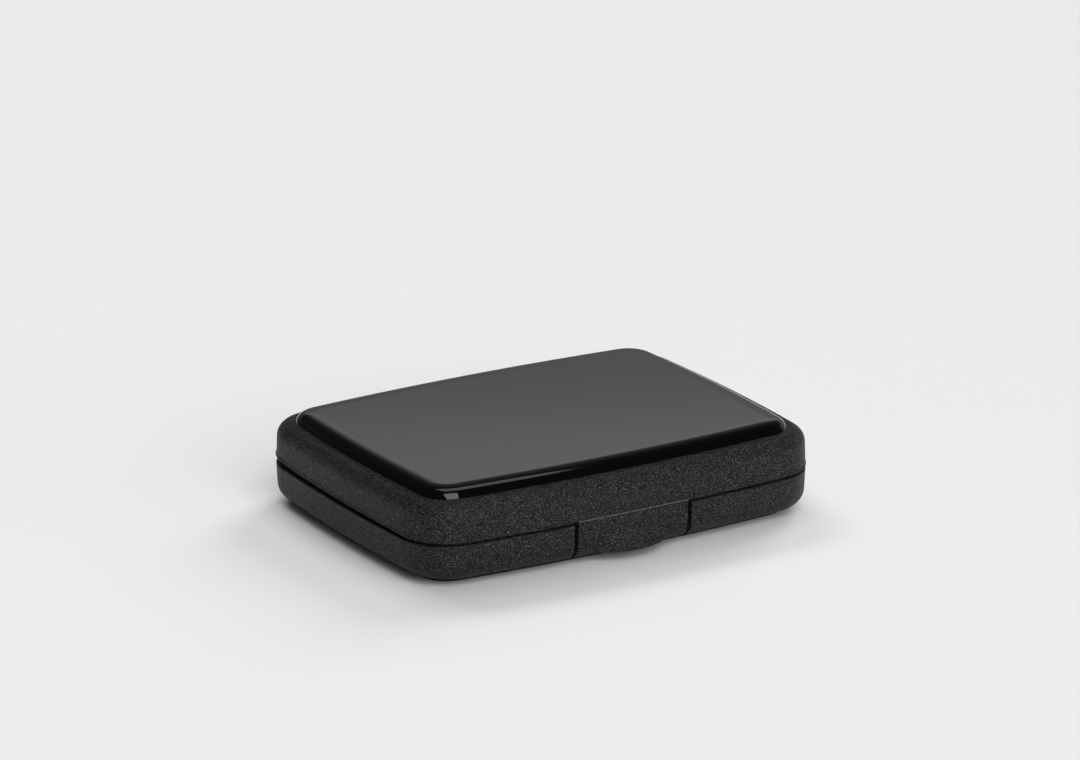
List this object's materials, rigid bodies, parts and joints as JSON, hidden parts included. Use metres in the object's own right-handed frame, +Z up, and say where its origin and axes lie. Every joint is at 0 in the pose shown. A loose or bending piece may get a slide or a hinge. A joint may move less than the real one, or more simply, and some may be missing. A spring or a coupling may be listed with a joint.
{
  "type": "plastic storage box",
  "caption": "Flat pocket-size clip-lid box with a bowed outline, a raised gloss top plate, a front latch tongue with a thumb lip, and pinned rear hinges.",
  "frame": {"origin": "centre of the flat underside of the plinth that the box stands on", "axes": "+X along the length, +Y from the latch to the hinges, +Z up through the top plate"},
  "size_m": [0.09, 0.0743, 0.0183],
  "materials": {
    "shell": "spark-eroded matte grain",
    "plate": "high gloss",
    "pin": "ground"
  },
  "bodies": {
    "base": {"base_shell": "shell", "hinge_pin_left": "pin", "hinge_pin_right": "pin"},
    "lid": {"lid_shell": "shell", "top_plate": "plate"},
    "latch": {"latch_tongue": "shell"}
  },
  "joints": [
    {"name": "lid_hinge", "type": "hinge", "parent": "base", "child": "lid", "pos_m": [0, 0.0357, 0.00875], "axis": [-1, 0, 0], "range_deg": [0, 110]},
    {"name": "latch_flex", "type": "hinge", "parent": "lid", "child": "latch", "pos_m": [0, -0.03415, 0.00905], "axis": [-1, 0, 0], "range_deg": [0, 12], "stiffness_Nm_per_rad": 0.2}
  ]
}
